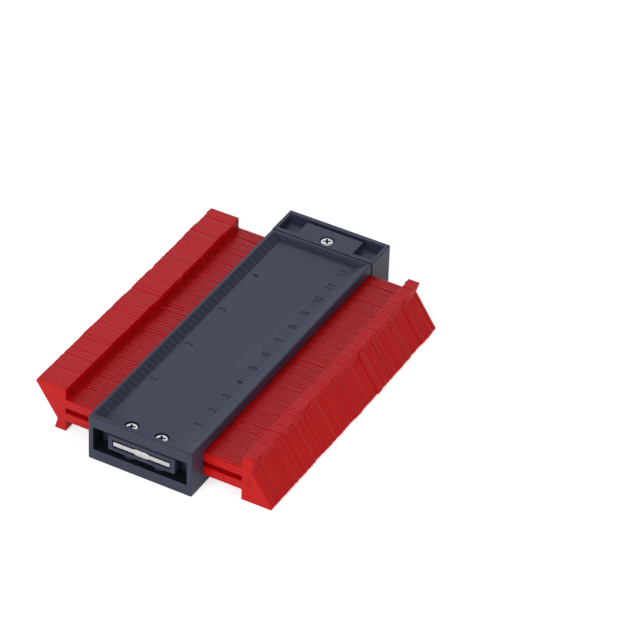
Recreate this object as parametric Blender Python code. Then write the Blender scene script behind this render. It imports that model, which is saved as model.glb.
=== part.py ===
# Contour gauge: a comb of thin plastic laminae that slide sideways through a flat body.
# The laminae slide along X. The body runs along Y, from its open front to its end cap.
# The origin is the middle of the body's flat underside, with +Z up. Sizes are in millimetres.
import math

import bmesh
import bpy
from mathutils import Matrix, Vector

MM = 0.001

# Body
BODY_WIDTH = 44.8
BODY_HEIGHT = 20.3
RAIL_HEIGHT = 4.7
EDGE_RADIUS = 0.45
EDGE_STEPS = 4
FRONT_SIDE_WALL = 2.1
FRONT_OPENING_HEIGHT = 10.4
FRONT_RECESS_DEPTH = 6.9
BACK_WALL = 1.6

# Scale tray in the top of the body
TRAY_DEPTH = 2.0
TRAY_SIDE_RIM = 1.65
TRAY_FRONT_RIM = 2.0
TRAY_REAR_RIM = 1.3
TRAY_SIDE_SLOPE = 3.6
TRAY_FRONT_SLOPE = 0.1
TRAY_REAR_SLOPE = 1.0

# Laminae, all alike, each the same when turned half round about Y
LAMINA_COUNT = 86
LAMINAE_PER_NODE = 2
LAMINA_THICKNESS = 1.3
LAMINA_GAP = 0.2
HEAD_INNER_REACH = 38.2
HEAD_LIFT = 0.3
TIP_REACH = 51.45
TIP_BLUNT_WIDTH = 0.5
TIP_BLUNT_HEIGHT = 0.6
NOTCH_LENGTH = 3.75
NOTCH_HEIGHT = 4.75
FOOT_LENGTH = 5.1
PIP_DIAMETER = 2.4
PIP_INSET = 3.1
PIP_DROP = 1.45

# Spine bar, which runs through the slot of every lamina
SPINE_WIDTH = 24.5
SPINE_THICKNESS = 1.6
SPINE_SETBACK = 1.1

# Magnets, one in each end of the spine bar
MAGNET_WIDTH = 6.9
MAGNET_HEIGHT = 2.8
MAGNET_DEPTH = 3.0

# Magnet holder in the front opening
HOLDER_SIDE_WALL = 1.9
HOLDER_HEIGHT = 6.9
HOLDER_SETBACK = 1.0
HOLDER_EDGE_CHAMFER = 0.3
MOUTH_SIDE_GAP = 0.35
MOUTH_HEAD_GAP = 0.35
MOUTH_DEPTH = 4.2

# End cap
CAP_LENGTH = 14.85
CAP_OVERHANG = 0.25
CAP_FRONT_WALL = 2.3
CAP_SIDE_WALL = 1.7
CAP_REAR_WALL = 2.2
CAP_RECESS_DEPTH = 3.0
CAP_SOCKET_WALL = 1.5
BOSS_WIDTH = 25.4
BOSS_GROOVE = 1.8

# Screws and their posts
SHANK_DIAMETER = 2.8
FRONT_HEAD_DIAMETER = 5.2
REAR_HEAD_DIAMETER = 5.3
HEAD_HEIGHT = 1.4
HEAD_DOME = 0.3
HEAD_SINK = 0.1
SHANK_FLOOR = 2.6
FRONT_SCREW_INSET = 5.75
FRONT_SCREW_SETBACK = 4.9
REAR_SCREW_SETBACK = 4.05
POST_DIAMETER = 5.8

# Felt strips that brake the bars
FELT_WIDTH = 7.4
FELT_THICKNESS = 1.0
FELT_PROUD = 0.1

# Clearances
RUN_GAP = 0.3
SEAT_GAP = 0.3
SEAM_GAP = 0.35
SPINE_RUN_GAP = 0.2
MAGNET_GAP = 0.1
SCREW_GAP = 0.25
OVERCUT = 1.0

# How far the laminae were left off centre: a slow bow along the comb, and the nodes that
# stand out from it, as first and last number and shift
BOW_START = 0.45
BOW_DRIFT = 0.55
BOW_RISE = 0.16
SLIPS = (
    (12, 13, -0.15), (15, 15, 0.11), (18, 18, 0.09), (20, 20, -0.09),
    (22, 23, 0.18), (28, 28, 0.37), (37, 39, -0.29), (43, 43, -0.32),
)

# Sizes that follow from those above
LAMINA_PITCH = LAMINA_THICKNESS + LAMINA_GAP
STACK_LENGTH = LAMINA_COUNT * LAMINA_PITCH - LAMINA_GAP
BACK_WALL_END = FRONT_RECESS_DEPTH + BACK_WALL
STACK_START = BACK_WALL_END + RUN_GAP
FRAME_LENGTH = STACK_START + STACK_LENGTH
CAP_START = FRAME_LENGTH + SEAM_GAP
GAUGE_LENGTH = CAP_START + CAP_LENGTH
HALF_WIDTH = BODY_WIDTH / 2
CAP_HALF_WIDTH = HALF_WIDTH + CAP_OVERHANG
MID_HEIGHT = BODY_HEIGHT / 2
SLOT_HALF = SPINE_THICKNESS / 2 + SPINE_RUN_GAP
CHANNEL_HALF = MID_HEIGHT - RAIL_HEIGHT
BAR_OUTER = CHANNEL_HALF - RUN_GAP
NOTCH_REACH = HEAD_INNER_REACH + NOTCH_LENGTH
FOOT_REACH = HEAD_INNER_REACH + FOOT_LENGTH
PIP_REACH = HEAD_INNER_REACH + PIP_INSET
OPENING_HALF = FRONT_OPENING_HEIGHT / 2
TRAY_FLOOR = BODY_HEIGHT - TRAY_DEPTH
SOCKET_END = GAUGE_LENGTH - CAP_SOCKET_WALL
SPINE_END = SOCKET_END - SEAT_GAP
MOUTH_WIDTH = SPINE_WIDTH + 2 * MOUTH_SIDE_GAP
MOUTH_HEIGHT = MAGNET_HEIGHT + 2 * MOUTH_HEAD_GAP
HOLDER_WIDTH = MOUTH_WIDTH + 2 * HOLDER_SIDE_WALL
FRONT_SCREW_HALF = SPINE_WIDTH / 2 - FRONT_SCREW_INSET
HOLE_DIAMETER = SHANK_DIAMETER + 2 * SCREW_GAP


def clear_scene():
    for obj in list(bpy.data.objects):
        bpy.data.objects.remove(obj)


def make_material(name, colour, roughness, metallic):
    material = bpy.data.materials.new(name)
    material.use_nodes = True
    shader = material.node_tree.nodes["Principled BSDF"]
    shader.inputs["Base Color"].default_value = (*colour, 1.0)
    shader.inputs["Roughness"].default_value = roughness
    shader.inputs["Metallic"].default_value = metallic
    material.diffuse_color = (*colour, 1.0)
    return material


# An object from a bmesh whose corners are in millimetres, hung on the gauge's own frame.
def add_object(name, mesh_data, frame, material=None):
    bmesh.ops.recalc_face_normals(mesh_data, faces=mesh_data.faces)
    bmesh.ops.scale(mesh_data, vec=(MM, MM, MM), verts=mesh_data.verts)
    mesh = bpy.data.meshes.new(name)
    mesh_data.to_mesh(mesh)
    mesh_data.free()
    if material:
        mesh.materials.append(material)
    obj = bpy.data.objects.new(name, mesh)
    bpy.context.scene.collection.objects.link(obj)
    obj.parent = frame
    return obj


def block_mesh(low, high):
    size = [top - bottom for bottom, top in zip(low, high)]
    centre = [(top + bottom) / 2 for bottom, top in zip(low, high)]
    mesh_data = bmesh.new()
    bmesh.ops.create_cube(mesh_data, size=1.0)
    bmesh.ops.scale(mesh_data, vec=size, verts=mesh_data.verts)
    bmesh.ops.translate(mesh_data, vec=centre, verts=mesh_data.verts)
    return mesh_data


def rod_mesh(x, y, bottom, top, diameter, sides=16):
    mesh_data = bmesh.new()
    place = Matrix.Translation((x, y, (bottom + top) / 2))
    bmesh.ops.create_cone(
        mesh_data, cap_ends=True, segments=sides, radius1=diameter / 2,
        radius2=diameter / 2, depth=top - bottom, matrix=place,
    )
    return mesh_data


# A flat outline in X and Y, raised from one height to another.
def prism_mesh(outline, bottom, top):
    mesh_data = bmesh.new()
    corners = [mesh_data.verts.new((x, y, bottom)) for x, y in outline]
    base = mesh_data.faces.new(corners)
    raised = bmesh.ops.extrude_face_region(mesh_data, geom=[base])
    moved = [part for part in raised["geom"] if isinstance(part, bmesh.types.BMVert)]
    bmesh.ops.translate(mesh_data, vec=(0, 0, top - bottom), verts=moved)
    return mesh_data


# Rounds the block's outer edges, except those that lie in the plane y = flat_end.
def round_edges(mesh_data, radius, flat_end, segments=EDGE_STEPS):
    edges = [
        edge for edge in mesh_data.edges
        if not all(abs(vert.co.y - flat_end) < 1e-4 for vert in edge.verts)
    ]
    bmesh.ops.bevel(
        mesh_data, geom=edges, offset=radius, offset_type="OFFSET",
        segments=segments, profile=0.5, affect="EDGES",
    )


def combine(target, tool, operation):
    tool.hide_render = True
    tool.display_type = "WIRE"
    modifier = target.modifiers.new(tool.name, "BOOLEAN")
    modifier.operation = operation
    modifier.solver = "EXACT"
    modifier.object = tool


def cut(target, name, mesh_data):
    combine(target, add_object(name, mesh_data, target.parent), "DIFFERENCE")


def join(target, name, mesh_data):
    combine(target, add_object(name, mesh_data, target.parent), "UNION")


# The tray is a box whose four walls lean outwards, each by its own run.
def tray_mesh():
    outer_x = HALF_WIDTH - TRAY_SIDE_RIM
    outer_front = TRAY_FRONT_RIM
    outer_rear = FRAME_LENGTH - TRAY_REAR_RIM
    rise = (TRAY_DEPTH + OVERCUT) / TRAY_DEPTH
    mesh_data = block_mesh((-1, 0, 0), (1, 1, 1))
    for vert in mesh_data.verts:
        lean = rise if vert.co.z > 0.5 else 0.0
        inner_x = outer_x - TRAY_SIDE_SLOPE
        reach_x = inner_x + TRAY_SIDE_SLOPE * lean
        if vert.co.y < 0.5:
            y = outer_front + TRAY_FRONT_SLOPE * (1 - lean)
        else:
            y = outer_rear - TRAY_REAR_SLOPE * (1 - lean)
        z = TRAY_FLOOR + (TRAY_DEPTH + OVERCUT if lean else 0.0)
        vert.co = Vector((math.copysign(reach_x, vert.co.x), y, z))
    return mesh_data


def spine_slot_mesh(start, end, gap):
    half_width = SPINE_WIDTH / 2 + gap
    half_height = SPINE_THICKNESS / 2 + gap
    low = (-half_width, start, MID_HEIGHT - half_height)
    high = (half_width, end, MID_HEIGHT + half_height)
    return block_mesh(low, high)


def mouth_mesh(start, end):
    low = (-MOUTH_WIDTH / 2, start, MID_HEIGHT - MOUTH_HEIGHT / 2)
    high = (MOUTH_WIDTH / 2, end, MID_HEIGHT + MOUTH_HEIGHT / 2)
    return block_mesh(low, high)


def front_screw_places():
    return {"left": -FRONT_SCREW_HALF, "right": FRONT_SCREW_HALF}


# One moulding: an upper and a lower rail joined by the open front box.
def make_body_frame(frame, material):
    outer = block_mesh((-HALF_WIDTH, 0, 0), (HALF_WIDTH, FRAME_LENGTH, BODY_HEIGHT))
    round_edges(outer, EDGE_RADIUS, FRAME_LENGTH)
    body = add_object("body_frame", outer, frame, material)

    channel = block_mesh(
        (-HALF_WIDTH - OVERCUT, BACK_WALL_END, MID_HEIGHT - CHANNEL_HALF),
        (HALF_WIDTH + OVERCUT, FRAME_LENGTH + OVERCUT, MID_HEIGHT + CHANNEL_HALF),
    )
    cut(body, "channel_cutter", channel)

    opening_half_width = HALF_WIDTH - FRONT_SIDE_WALL
    opening = block_mesh(
        (-opening_half_width, -OVERCUT, MID_HEIGHT - OPENING_HALF),
        (opening_half_width, FRONT_RECESS_DEPTH, MID_HEIGHT + OPENING_HALF),
    )
    cut(body, "front_opening_cutter", opening)

    # Short posts above and below the magnet holder carry its two screws.
    lower_top = MID_HEIGHT - HOLDER_HEIGHT / 2 - SEAT_GAP
    upper_bottom = MID_HEIGHT + HOLDER_HEIGHT / 2 + SEAT_GAP
    for side, x in front_screw_places().items():
        lower = rod_mesh(x, FRONT_SCREW_SETBACK, MID_HEIGHT - OPENING_HALF - OVERCUT, lower_top, POST_DIAMETER)
        join(body, f"lower_post_{side}", lower)
        upper = rod_mesh(x, FRONT_SCREW_SETBACK, upper_bottom, MID_HEIGHT + OPENING_HALF + OVERCUT, POST_DIAMETER)
        join(body, f"upper_post_{side}", upper)

    cut(body, "tray_cutter", tray_mesh())
    wall_slot = spine_slot_mesh(FRONT_RECESS_DEPTH - OVERCUT, BACK_WALL_END + OVERCUT, SEAT_GAP)
    cut(body, "spine_slot_cutter", wall_slot)

    head_floor = TRAY_FLOOR - HEAD_SINK - HEAD_HEIGHT - SEAT_GAP
    head_bore = FRONT_HEAD_DIAMETER + 2 * SCREW_GAP
    for side, x in front_screw_places().items():
        bore = rod_mesh(x, FRONT_SCREW_SETBACK, head_floor, BODY_HEIGHT - OVERCUT, head_bore, 24)
        cut(body, f"head_bore_{side}", bore)
        hole = rod_mesh(x, FRONT_SCREW_SETBACK, SHANK_FLOOR - SEAT_GAP, TRAY_FLOOR, HOLE_DIAMETER)
        cut(body, f"screw_hole_{side}", hole)

    groove_half = FELT_WIDTH / 2 + SEAT_GAP
    groove_depth = FELT_THICKNESS - FELT_PROUD + SEAT_GAP
    for name, face, away in (
        ("upper", MID_HEIGHT + CHANNEL_HALF, 1),
        ("lower", MID_HEIGHT - CHANNEL_HALF, -1),
    ):
        heights = sorted((face - away * OVERCUT, face + away * groove_depth))
        groove = block_mesh(
            (-groove_half, STACK_START, heights[0]),
            (groove_half, FRAME_LENGTH - SEAM_GAP, heights[1]),
        )
        cut(body, f"{name}_felt_groove", groove)
    return body


# The block that closes the channel: pockets round a boss, and a socket for the spine's end.
def make_end_cap(frame, material):
    outer = block_mesh((-CAP_HALF_WIDTH, CAP_START, 0), (CAP_HALF_WIDTH, GAUGE_LENGTH, BODY_HEIGHT))
    round_edges(outer, EDGE_RADIUS, CAP_START)
    cap = add_object("end_cap", outer, frame, material)

    pocket_x = CAP_HALF_WIDTH - CAP_SIDE_WALL
    pocket_front = CAP_START + CAP_FRONT_WALL
    pocket_rear = GAUGE_LENGTH - CAP_REAR_WALL
    boss_x = BOSS_WIDTH / 2
    boss_rear = pocket_rear - BOSS_GROOVE
    outline = (
        (-pocket_x, pocket_front), (-boss_x, pocket_front), (-boss_x, boss_rear),
        (boss_x, boss_rear), (boss_x, pocket_front), (pocket_x, pocket_front),
        (pocket_x, pocket_rear), (-pocket_x, pocket_rear),
    )
    pockets = prism_mesh(outline, BODY_HEIGHT - CAP_RECESS_DEPTH, BODY_HEIGHT + OVERCUT)
    cut(cap, "cap_pocket_cutter", pockets)
    cut(cap, "cap_socket_cutter", mouth_mesh(CAP_START - OVERCUT, SOCKET_END))

    screw_y = CAP_START + REAR_SCREW_SETBACK
    head_floor = BODY_HEIGHT - HEAD_SINK - HEAD_HEIGHT - SEAT_GAP
    bore = rod_mesh(0, screw_y, head_floor, BODY_HEIGHT + OVERCUT, REAR_HEAD_DIAMETER + 2 * SCREW_GAP, 24)
    cut(cap, "cap_head_bore", bore)
    hole = rod_mesh(0, screw_y, SHANK_FLOOR - SEAT_GAP, BODY_HEIGHT - OVERCUT, HOLE_DIAMETER)
    cut(cap, "cap_screw_hole", hole)
    return cap


def make_magnet_holder(frame, material):
    low = (-HOLDER_WIDTH / 2, HOLDER_SETBACK, MID_HEIGHT - HOLDER_HEIGHT / 2)
    high = (HOLDER_WIDTH / 2, FRONT_RECESS_DEPTH - SEAT_GAP, MID_HEIGHT + HOLDER_HEIGHT / 2)
    outer = block_mesh(low, high)
    round_edges(outer, HOLDER_EDGE_CHAMFER, FRONT_RECESS_DEPTH - SEAT_GAP, segments=1)
    holder = add_object("magnet_holder", outer, frame, material)
    cut(holder, "holder_mouth_cutter", mouth_mesh(HOLDER_SETBACK - OVERCUT, HOLDER_SETBACK + MOUTH_DEPTH))
    slot = spine_slot_mesh(HOLDER_SETBACK + MOUTH_DEPTH - OVERCUT, FRONT_RECESS_DEPTH + OVERCUT, SEAT_GAP)
    cut(holder, "holder_slot_cutter", slot)
    for side, x in front_screw_places().items():
        hole = rod_mesh(x, FRONT_SCREW_SETBACK, 0, BODY_HEIGHT, HOLE_DIAMETER)
        cut(holder, f"holder_hole_{side}", hole)
    return holder


# A flat steel strip with a notch for a magnet in each end, and holes for the screws.
def make_spine_bar(frame, material):
    spine = add_object("spine_bar", spine_slot_mesh(SPINE_SETBACK, SPINE_END, 0.0), frame, material)
    notch_half = MAGNET_WIDTH / 2 + MAGNET_GAP
    notch_depth = MAGNET_DEPTH + MAGNET_GAP
    for name, start, end in (
        ("front_notch_cutter", SPINE_SETBACK - OVERCUT, SPINE_SETBACK + notch_depth),
        ("rear_notch_cutter", SPINE_END - notch_depth, SPINE_END + OVERCUT),
    ):
        cut(spine, name, block_mesh((-notch_half, start, 0), (notch_half, end, BODY_HEIGHT)))
    for side, x in front_screw_places().items():
        hole = rod_mesh(x, FRONT_SCREW_SETBACK, 0, BODY_HEIGHT, HOLE_DIAMETER)
        cut(spine, f"spine_hole_{side}", hole)
    rear_hole = rod_mesh(0, CAP_START + REAR_SCREW_SETBACK, 0, BODY_HEIGHT, HOLE_DIAMETER)
    cut(spine, "spine_hole_rear", rear_hole)
    return spine


def make_magnet(name, start, frame, material):
    low = (-MAGNET_WIDTH / 2, start, MID_HEIGHT - MAGNET_HEIGHT / 2)
    high = (MAGNET_WIDTH / 2, start + MAGNET_DEPTH, MID_HEIGHT + MAGNET_HEIGHT / 2)
    return add_object(name, block_mesh(low, high), frame, material)


# A screw turned from its half outline: domed head on top, plain shank and a short point.
def make_screw(name, x, y, top, head_diameter, frame, material):
    shank_radius = SHANK_DIAMETER / 2
    tip = SHANK_FLOOR
    outline = (
        (0.0, top), (head_diameter / 4, top - HEAD_DOME / 4), (head_diameter / 2, top - HEAD_DOME),
        (head_diameter / 2, top - HEAD_HEIGHT), (shank_radius, top - HEAD_HEIGHT),
        (shank_radius, tip + shank_radius), (0.0, tip),
    )
    mesh_data = bmesh.new()
    verts = [mesh_data.verts.new((radius, 0, height)) for radius, height in outline]
    edges = [mesh_data.edges.new(pair) for pair in zip(verts, verts[1:])]
    bmesh.ops.spin(
        mesh_data, geom=verts + edges, axis=(0, 0, 1), cent=(0, 0, 0),
        angle=math.tau, steps=20, use_merge=True,
    )
    bmesh.ops.remove_doubles(mesh_data, verts=mesh_data.verts, dist=0.001)
    bmesh.ops.translate(mesh_data, vec=(x, y, 0), verts=mesh_data.verts)
    screw = add_object(name, mesh_data, frame, material)
    screw.data.shade_smooth()
    screw.data.set_sharp_from_angle(angle=math.radians(40))
    return screw


def make_felt(name, away, frame, material):
    bearing_face = MID_HEIGHT + away * (CHANNEL_HALF - FELT_PROUD)
    heights = sorted((bearing_face, bearing_face + away * FELT_THICKNESS))
    low = (-FELT_WIDTH / 2, STACK_START + SEAT_GAP, heights[0])
    high = (FELT_WIDTH / 2, FRAME_LENGTH - SEAM_GAP - SEAT_GAP, heights[1])
    return add_object(name, block_mesh(low, high), frame, material)


# Half of a lamina's outline, as seen from the front: the head at -X, round from its inner top corner.
def head_outline():
    half_height = MID_HEIGHT - HEAD_LIFT
    return (
        (-HEAD_INNER_REACH, half_height),
        (-TIP_REACH + TIP_BLUNT_WIDTH, half_height),
        (-TIP_REACH, half_height - TIP_BLUNT_HEIGHT),
        (-NOTCH_REACH, NOTCH_HEIGHT - half_height),
        (-FOOT_REACH, -half_height),
        (-HEAD_INNER_REACH, -half_height),
    )


# The corners where the two bars meet a head, from the lower bar's underside to the upper bar's top.
def bar_heights():
    return (-BAR_OUTER, -SLOT_HALF, SLOT_HALF, BAR_OUTER)


# One plate, standing in the XZ plane with its front at the given y. Both heads and both bars
# share their corners, so that the plate is one closed body with the spine's slot through it.
def add_lamina(mesh_data, front):
    sides = []
    for turn in (1, -1):
        head = [mesh_data.verts.new((turn * x, front, turn * z)) for x, z in head_outline()]
        joints = [mesh_data.verts.new((turn * -HEAD_INNER_REACH, front, turn * z)) for z in bar_heights()]
        mesh_data.faces.new(head + joints)
        sides.append(joints)
    left, right = sides
    upper_bar = (left[2], left[3], right[0], right[1])
    lower_bar = (left[0], left[1], right[2], right[3])
    faces = [mesh_data.faces.new(corners) for corners in (upper_bar, lower_bar)]
    for vert in left + right:
        faces.extend(face for face in vert.link_faces if face not in faces)
    raised = bmesh.ops.extrude_face_region(mesh_data, geom=faces)
    moved = [part for part in raised["geom"] if isinstance(part, bmesh.types.BMVert)]
    bmesh.ops.translate(mesh_data, vec=(0, LAMINA_THICKNESS, 0), verts=moved)


# Spacer pips keep neighbouring plates apart. Inside a node the plates are fused where they meet
# on their pips, because each node is one solid.
def make_lamina_pair_mesh(frame, material):
    plates = bmesh.new()
    for index in range(LAMINAE_PER_NODE):
        add_lamina(plates, index * LAMINA_PITCH)
    pair = add_object("lamina_pair_pattern", plates, frame, material)
    for index in range(LAMINAE_PER_NODE - 1):
        middle = (index + 1) * LAMINA_PITCH - LAMINA_GAP / 2
        reach = (LAMINA_GAP + LAMINA_THICKNESS) / 2
        for side, turn in (("left", 1), ("right", -1)):
            pip = rod_mesh(0, 0, -reach, reach, PIP_DIAMETER, 8)
            bmesh.ops.rotate(pip, verts=pip.verts, matrix=Matrix.Rotation(math.pi / 2, 3, "X"))
            place = (-turn * PIP_REACH, middle, turn * PIP_DROP)
            bmesh.ops.translate(pip, vec=place, verts=pip.verts)
            join(pair, f"pip_{index + 1}_{side}", pip)
    bpy.context.view_layer.update()
    solid = pair.evaluated_get(bpy.context.evaluated_depsgraph_get())
    mesh = bpy.data.meshes.new_from_object(solid)
    mesh.name = "lamina_pair"
    for modifier in list(pair.modifiers):
        bpy.data.objects.remove(modifier.object)
    bpy.data.objects.remove(pair)
    return mesh


# Where along X a lamina node was left, from its number and the share of the comb in front of it.
def slide_offset(number, share):
    bow = BOW_START + BOW_DRIFT * share + BOW_RISE * math.sin(math.pi * share)
    slip = sum(shift for first, last, shift in SLIPS if first <= number <= last)
    return bow + slip


def lamina_places():
    count = LAMINA_COUNT // LAMINAE_PER_NODE
    places = []
    for index in range(count):
        offset = slide_offset(index + 1, index / (count - 1))
        front = STACK_START + index * LAMINAE_PER_NODE * LAMINA_PITCH
        places.append((f"lamina_pair_{index + 1:02d}", offset, front))
    return places


def make_laminae(frame, material):
    mesh = make_lamina_pair_mesh(frame, material)
    for name, offset, front in lamina_places():
        pair = bpy.data.objects.new(name, mesh)
        bpy.context.scene.collection.objects.link(pair)
        pair.parent = frame
        pair.location = (offset * MM, front * MM, MID_HEIGHT * MM)


# Slides of every lamina node: its name, and how far it goes each way before its heads meet the body.
def slide_ranges():
    travel = HEAD_INNER_REACH - HALF_WIDTH - RUN_GAP
    return [(name, -travel - offset, travel - offset) for name, offset, front in lamina_places()]


def build():
    clear_scene()
    slate = make_material("slate_plastic", (0.070, 0.078, 0.110), 0.42, 0.0)
    red = make_material("red_plastic", (0.56, 0.022, 0.028), 0.38, 0.0)
    steel = make_material("bright_steel", (0.78, 0.78, 0.77), 0.28, 1.0)
    nickel = make_material("nickel", (0.82, 0.81, 0.79), 0.18, 1.0)
    zinc = make_material("zinc_plate", (0.80, 0.80, 0.80), 0.24, 1.0)
    felt = make_material("grey_felt", (0.09, 0.09, 0.10), 0.95, 0.0)

    frame = bpy.data.objects.new("gauge_frame", None)
    bpy.context.scene.collection.objects.link(frame)
    frame.location = (0, -GAUGE_LENGTH / 2 * MM, 0)

    make_body_frame(frame, slate)
    make_end_cap(frame, slate)
    make_magnet_holder(frame, slate)
    make_spine_bar(frame, steel)
    make_magnet("front_magnet", SPINE_SETBACK, frame, nickel)
    make_magnet("rear_magnet", SPINE_END - MAGNET_DEPTH, frame, nickel)
    for side, x in front_screw_places().items():
        head_top = TRAY_FLOOR - HEAD_SINK
        make_screw(
            f"front_screw_{side}", x, FRONT_SCREW_SETBACK, head_top, FRONT_HEAD_DIAMETER, frame, zinc
        )
    rear_y = CAP_START + REAR_SCREW_SETBACK
    make_screw("rear_screw", 0, rear_y, BODY_HEIGHT - HEAD_SINK, REAR_HEAD_DIAMETER, frame, zinc)
    make_felt("upper_felt", 1, frame, felt)
    make_felt("lower_felt", -1, frame, felt)
    make_laminae(frame, red)
    bpy.context.view_layer.update()


build()
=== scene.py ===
# Contour gauge: 86 thin laminae that slide through a flat body with a scale tray in its top.
# The laminae lie along X, the body along Y with its open front at -Y, and Z is up.
# Sizes of pieces are millimetres, and "along" is measured from the body's front face. Heights,
# radii and scales in the materials' settings are in metres, as shaders take them.
import math

import bmesh
import bpy
import numpy as np
from mathutils import Matrix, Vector
from mathutils.geometry import tessellate_polygon


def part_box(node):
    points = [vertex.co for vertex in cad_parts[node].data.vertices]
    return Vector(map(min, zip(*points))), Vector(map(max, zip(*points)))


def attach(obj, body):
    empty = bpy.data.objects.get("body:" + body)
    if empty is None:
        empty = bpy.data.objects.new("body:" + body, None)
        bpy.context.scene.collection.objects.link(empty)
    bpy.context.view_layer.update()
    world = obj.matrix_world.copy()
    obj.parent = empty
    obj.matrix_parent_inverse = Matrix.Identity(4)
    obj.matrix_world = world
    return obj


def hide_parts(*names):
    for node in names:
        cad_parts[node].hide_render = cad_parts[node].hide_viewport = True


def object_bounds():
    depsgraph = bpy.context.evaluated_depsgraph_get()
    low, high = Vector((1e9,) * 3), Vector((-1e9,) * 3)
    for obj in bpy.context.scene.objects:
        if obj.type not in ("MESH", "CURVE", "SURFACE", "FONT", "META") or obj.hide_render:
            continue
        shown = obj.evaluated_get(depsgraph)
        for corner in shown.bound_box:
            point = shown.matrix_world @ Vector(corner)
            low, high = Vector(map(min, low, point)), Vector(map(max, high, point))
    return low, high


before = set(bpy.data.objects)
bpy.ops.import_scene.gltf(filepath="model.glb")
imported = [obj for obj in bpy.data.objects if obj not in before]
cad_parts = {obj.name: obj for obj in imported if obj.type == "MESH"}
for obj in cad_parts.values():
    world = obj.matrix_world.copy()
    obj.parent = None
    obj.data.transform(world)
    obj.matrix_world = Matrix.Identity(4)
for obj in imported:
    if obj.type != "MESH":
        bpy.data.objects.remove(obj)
cadLow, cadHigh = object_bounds()
mm = 0.001
hair = 0.01  # less than any real size here: it settles which side of a limit a point lies on
gaugeBody = "gauge_body"


# A box's low and high corner in millimetres
def inMillimetres(box):
    return [np.array(corner) / mm for corner in box]


bodyLow, bodyHigh = inMillimetres(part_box("body_frame"))


# A screen colour, 0 to 255, as the linear colour that a shader takes
def screenColour(red, green, blue):
    part = np.array((red, green, blue)) / 255
    linear = np.where(part > 0.04045, ((part + 0.055) / 1.055) ** 2.4, part / 12.92)
    return (*linear.tolist(), 1.0)


def feed(tree, socket, value):
    if isinstance(value, bpy.types.NodeSocket):
        tree.links.new(value, socket)
    else:
        socket.default_value = value


# A node with its settings, and its sockets fed with values or links. It stands one column to the
# right of the nodes that feed it, under those that are there
def addNode(tree, kind, given=(), **settings):
    made = tree.nodes.new("ShaderNode" + kind)
    for key, value in settings.items():
        setattr(made, key, value)
    column = 0
    for key, value in dict(given).items():
        feed(tree, made.inputs[key], value)
        if isinstance(value, bpy.types.NodeSocket):
            column = max(column, value.node.location.x + 190)
    row = sum(node.location.x == column for node in tree.nodes if node != made)
    made.location = (column, row * -170)
    return made


def addMaths(tree, operation, first, second=0.5, third=0.5, clamp=False):
    given = enumerate((first, second, third))
    return addNode(tree, "Math", given, operation=operation, use_clamp=clamp).outputs[0]


def addRange(tree, value, low, high, toLow=0.0, toHigh=1.0):
    given = {"Value": value, "From Min": low, "From Max": high, "To Min": toLow, "To Max": toHigh}
    return addNode(tree, "MapRange", given).outputs["Result"]


def addNoise(tree, vector, scale, detail=2.0, roughness=0.5):
    given = {"Vector": vector, "Scale": scale, "Detail": detail, "Roughness": roughness}
    return addNode(tree, "TexNoise", given).outputs["Fac"]


def addMix(tree, amount, first, second):
    given = {0: amount, 6: first, 7: second}
    return addNode(tree, "Mix", given, data_type="RGBA").outputs[2]


def addMapping(tree, vector, scale, turn=0.0):
    given = {"Vector": vector, "Rotation": (0.0, 0.0, turn), "Scale": scale}
    return addNode(tree, "Mapping", given).outputs["Vector"]


# What every shader is given last: its colour and roughness, and the height of its fine relief
def feedShader(tree, shader, colour, rough, height, distance):
    bump = addNode(tree, "Bump", {"Distance": distance, "Height": height}).outputs["Normal"]
    for key, value in (("Base Color", colour), ("Roughness", rough), ("Normal", bump)):
        feed(tree, shader[key], value)


# A roughness that a noise from 0 to 1 moves up and down about its middle value
def addRough(tree, noise, share, middle):
    return addMaths(tree, "MULTIPLY_ADD", noise, share, middle - share / 2)


def objectPlace(tree):
    return addNode(tree, "TexCoord").outputs["Object"]


# A shader group: its tree, its object coordinates, what is given to it and what it gives
def newGroup(name, inputs, outputs):
    tree = bpy.data.node_groups.new(name, "ShaderNodeTree")
    for label, value in inputs.items():
        socket = tree.interface.new_socket(label, in_out="INPUT", socket_type="NodeSocketFloat")
        socket.default_value = value
    for label in outputs:
        tree.interface.new_socket(label, in_out="OUTPUT", socket_type="NodeSocketFloat")
    entry, leave = (tree.nodes.new("NodeGroup" + end) for end in ("Input", "Output"))
    leave.location = (1300, 0)
    return tree, objectPlace(tree), entry.outputs, leave.inputs


# Shared effects: each edge is where a noise starts to count and where it counts in full
effectLook = {
    "pitEdge": (0.30, 0.22), "pitDepth": 0.6, "fleckEdge": (0.68, 0.76), "wearEdge": (0.98, 0.80),
    "wearGaps": (0.35, 0.65), "driftEdge": (0.3, 0.7), "hairEdge": (0.70, 0.78),
    "hairRuns": ((17, (60.0, 3200.0, 3200.0)), (-12, (2600.0, 45.0, 2600.0))),
}


# Moulded skin: fine noise for the texture of the mould, with sparse larger pits in it
def makeMouldSkin(look):
    inputs = {"Grain": 6000.0, "Pits": 900.0}
    tree, place, given, result = newGroup("mouldSkin", inputs, ("Height", "Fleck"))
    fine = addNoise(tree, place, given["Grain"], 3.0, 0.6)
    pits = addNoise(tree, place, given["Pits"], 1.0, 0.4)
    sunk = addRange(tree, pits, *look["pitEdge"], 0.0, look["pitDepth"])
    feed(tree, result["Height"], addMaths(tree, "SUBTRACT", fine, sunk))
    feed(tree, result["Fleck"], addRange(tree, pits, *look["fleckEdge"]))
    return tree


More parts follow.
